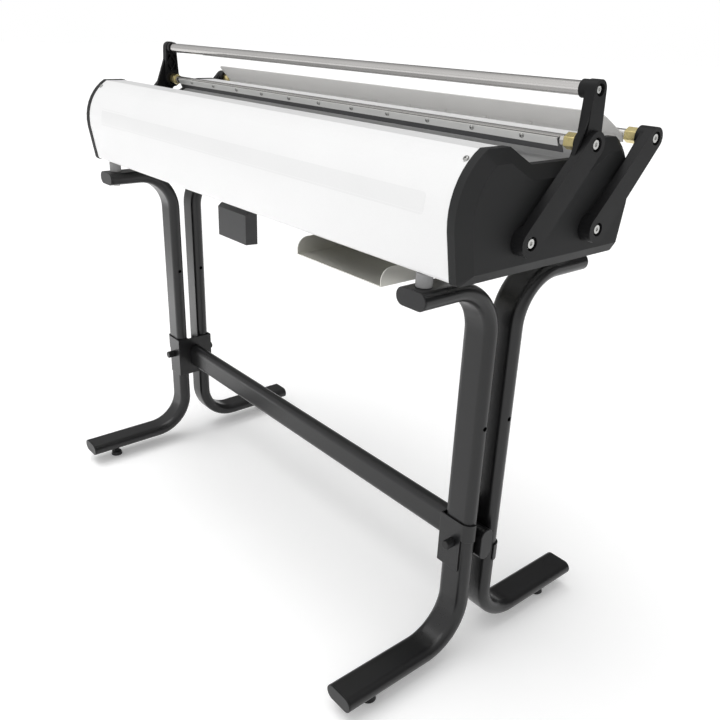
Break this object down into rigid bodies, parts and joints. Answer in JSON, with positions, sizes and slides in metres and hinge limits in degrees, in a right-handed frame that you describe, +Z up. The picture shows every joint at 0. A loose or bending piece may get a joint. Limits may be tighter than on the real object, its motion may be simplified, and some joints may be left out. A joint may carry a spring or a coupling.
{
  "type": "plan folding machine",
  "caption": "Free-standing plan folding machine: long rounded housing with a trough, coupled swinging levers with a handle bar and blades, on a black tubular stand with levelling feet.",
  "frame": {"origin": "on the floor under the centre of the bounding box", "axes": "+X along the machine to the end with the tray, +Y to the back, +Z up"},
  "size_m": [1.25, 0.59, 1.0115],
  "materials": {
    "stand_black": "satin powder coat",
    "plug_grey": "moulded",
    "fitting_black": "moulded",
    "zinc_steel": "zinc plated",
    "buffer_rubber": "matt",
    "cap_black": "fine moulded grain",
    "brass": "turned",
    "cover_white": "satin powder coat",
    "label_white": "satin",
    "trough_metal": "brushed",
    "stainless": "brushed",
    "bar_steel": "ground",
    "blade_steel": "brushed",
    "strip_grey": "satin grey coat"
  },
  "bodies": {
    "machine": {"front_left_leg": "stand_black", "front_right_leg": "stand_black", "rear_left_leg": "stand_black", "rear_right_leg": "stand_black", "leg_end_plugs": "plug_grey", "cross_beam": "stand_black", "beam_end_plugs": "plug_grey", "left_bracket": "stand_black", "right_bracket": "stand_black", "foot_inserts": "zinc_steel", "rubber_buffers": "buffer_rubber", "housing_bolts": "zinc_steel", "left_end_cap": "cap_black", "right_end_cap": "cap_black", "left_side_plate": "zinc_steel", "right_side_plate": "zinc_steel", "pivot_bushes": "brass", "front_cover": "cover_white", "rear_cover": "cover_white", "base_plate": "zinc_steel", "trough_sheet": "trough_metal", "tie_rods": "zinc_steel", "label_strip": "label_white", "cover_screws": "zinc_steel", "tray": "stainless", "tray_screws": "zinc_steel", "grip_block": "fitting_black", "block_hanger": "zinc_steel", "hanger_screws": "zinc_steel"},
    "front_lever": {"front_left_arm": "cap_black", "front_right_arm": "cap_black", "handle_bar": "bar_steel", "front_rod": "bar_steel", "front_blade": "blade_steel", "clamp_strip": "strip_grey", "strip_screws": "zinc_steel", "front_sleeves": "brass", "front_arm_screws": "zinc_steel", "front_shafts": "bar_steel", "front_cranks": "zinc_steel"},
    "rear_lever": {"rear_left_arm": "cap_black", "rear_right_arm": "cap_black", "rear_rod": "bar_steel", "guide_plate": "strip_grey", "guide_screws": "zinc_steel", "rear_sleeves": "brass", "rear_arm_screws": "zinc_steel", "rear_shafts": "bar_steel", "rear_cranks": "zinc_steel"},
    "left_link": {"left_link": "zinc_steel"},
    "right_link": {"right_link": "zinc_steel"},
    "front_left_knob": {"front_left_knob": "fitting_black"},
    "front_left_foot": {"front_left_foot": "fitting_black"},
    "front_right_knob": {"front_right_knob": "fitting_black"},
    "front_right_foot": {"front_right_foot": "fitting_black"},
    "rear_left_knob": {"rear_left_knob": "fitting_black"},
    "rear_left_foot": {"rear_left_foot": "fitting_black"},
    "rear_right_knob": {"rear_right_knob": "fitting_black"},
    "rear_right_foot": {"rear_right_foot": "fitting_black"}
  },
  "joints": [
    {"name": "front_lever_swing", "type": "hinge", "parent": "machine", "child": "front_lever", "pos_m": [0, -0.075, 0.8055], "axis": [1, 0, 0], "range_deg": [0, 74]},
    {"name": "rear_lever_swing", "type": "hinge", "parent": "machine", "child": "rear_lever", "pos_m": [0, 0.075, 0.8055], "axis": [1, 0, 0], "range_deg": [0, 74]},
    {"name": "left_link_pivot", "type": "hinge", "parent": "front_lever", "child": "left_link", "pos_m": [-0.59, -0.09427, 0.78519], "axis": [1, 0, 0], "range_deg": [-74, 0]},
    {"name": "right_link_pivot", "type": "hinge", "parent": "front_lever", "child": "right_link", "pos_m": [0.59, -0.09427, 0.78519], "axis": [1, 0, 0], "range_deg": [-74, 0]},
    {"name": "front_left_knob_turn", "type": "hinge", "parent": "machine", "child": "front_left_knob", "pos_m": [-0.513, -0.047, 0.244], "axis": [0, -1, 0], "continuous": true},
    {"name": "front_left_foot_turn", "type": "hinge", "parent": "machine", "child": "front_left_foot", "pos_m": [-0.515, -0.228, 0], "axis": [0, 0, 1], "continuous": true},
    {"name": "front_right_knob_turn", "type": "hinge", "parent": "machine", "child": "front_right_knob", "pos_m": [0.513, -0.047, 0.244], "axis": [0, -1, 0], "continuous": true},
    {"name": "front_right_foot_turn", "type": "hinge", "parent": "machine", "child": "front_right_foot", "pos_m": [0.515, -0.228, 0], "axis": [0, 0, 1], "continuous": true},
    {"name": "rear_left_knob_turn", "type": "hinge", "parent": "machine", "child": "rear_left_knob", "pos_m": [-0.513, 0.047, 0.244], "axis": [0, 1, 0], "continuous": true},
    {"name": "rear_left_foot_turn", "type": "hinge", "parent": "machine", "child": "rear_left_foot", "pos_m": [-0.515, 0.228, 0], "axis": [0, 0, 1], "continuous": true},
    {"name": "rear_right_knob_turn", "type": "hinge", "parent": "machine", "child": "rear_right_knob", "pos_m": [0.513, 0.047, 0.244], "axis": [0, 1, 0], "continuous": true},
    {"name": "rear_right_foot_turn", "type": "hinge", "parent": "machine", "child": "rear_right_foot", "pos_m": [0.515, 0.228, 0], "axis": [0, 0, 1], "continuous": true}
  ],
  "couplings": [
    {"joint": "rear_lever_swing", "follows": "front_lever_swing", "ratio": 1},
    {"joint": "left_link_pivot", "follows": "front_lever_swing", "ratio": -1},
    {"joint": "right_link_pivot", "follows": "front_lever_swing", "ratio": -1}
  ]
}
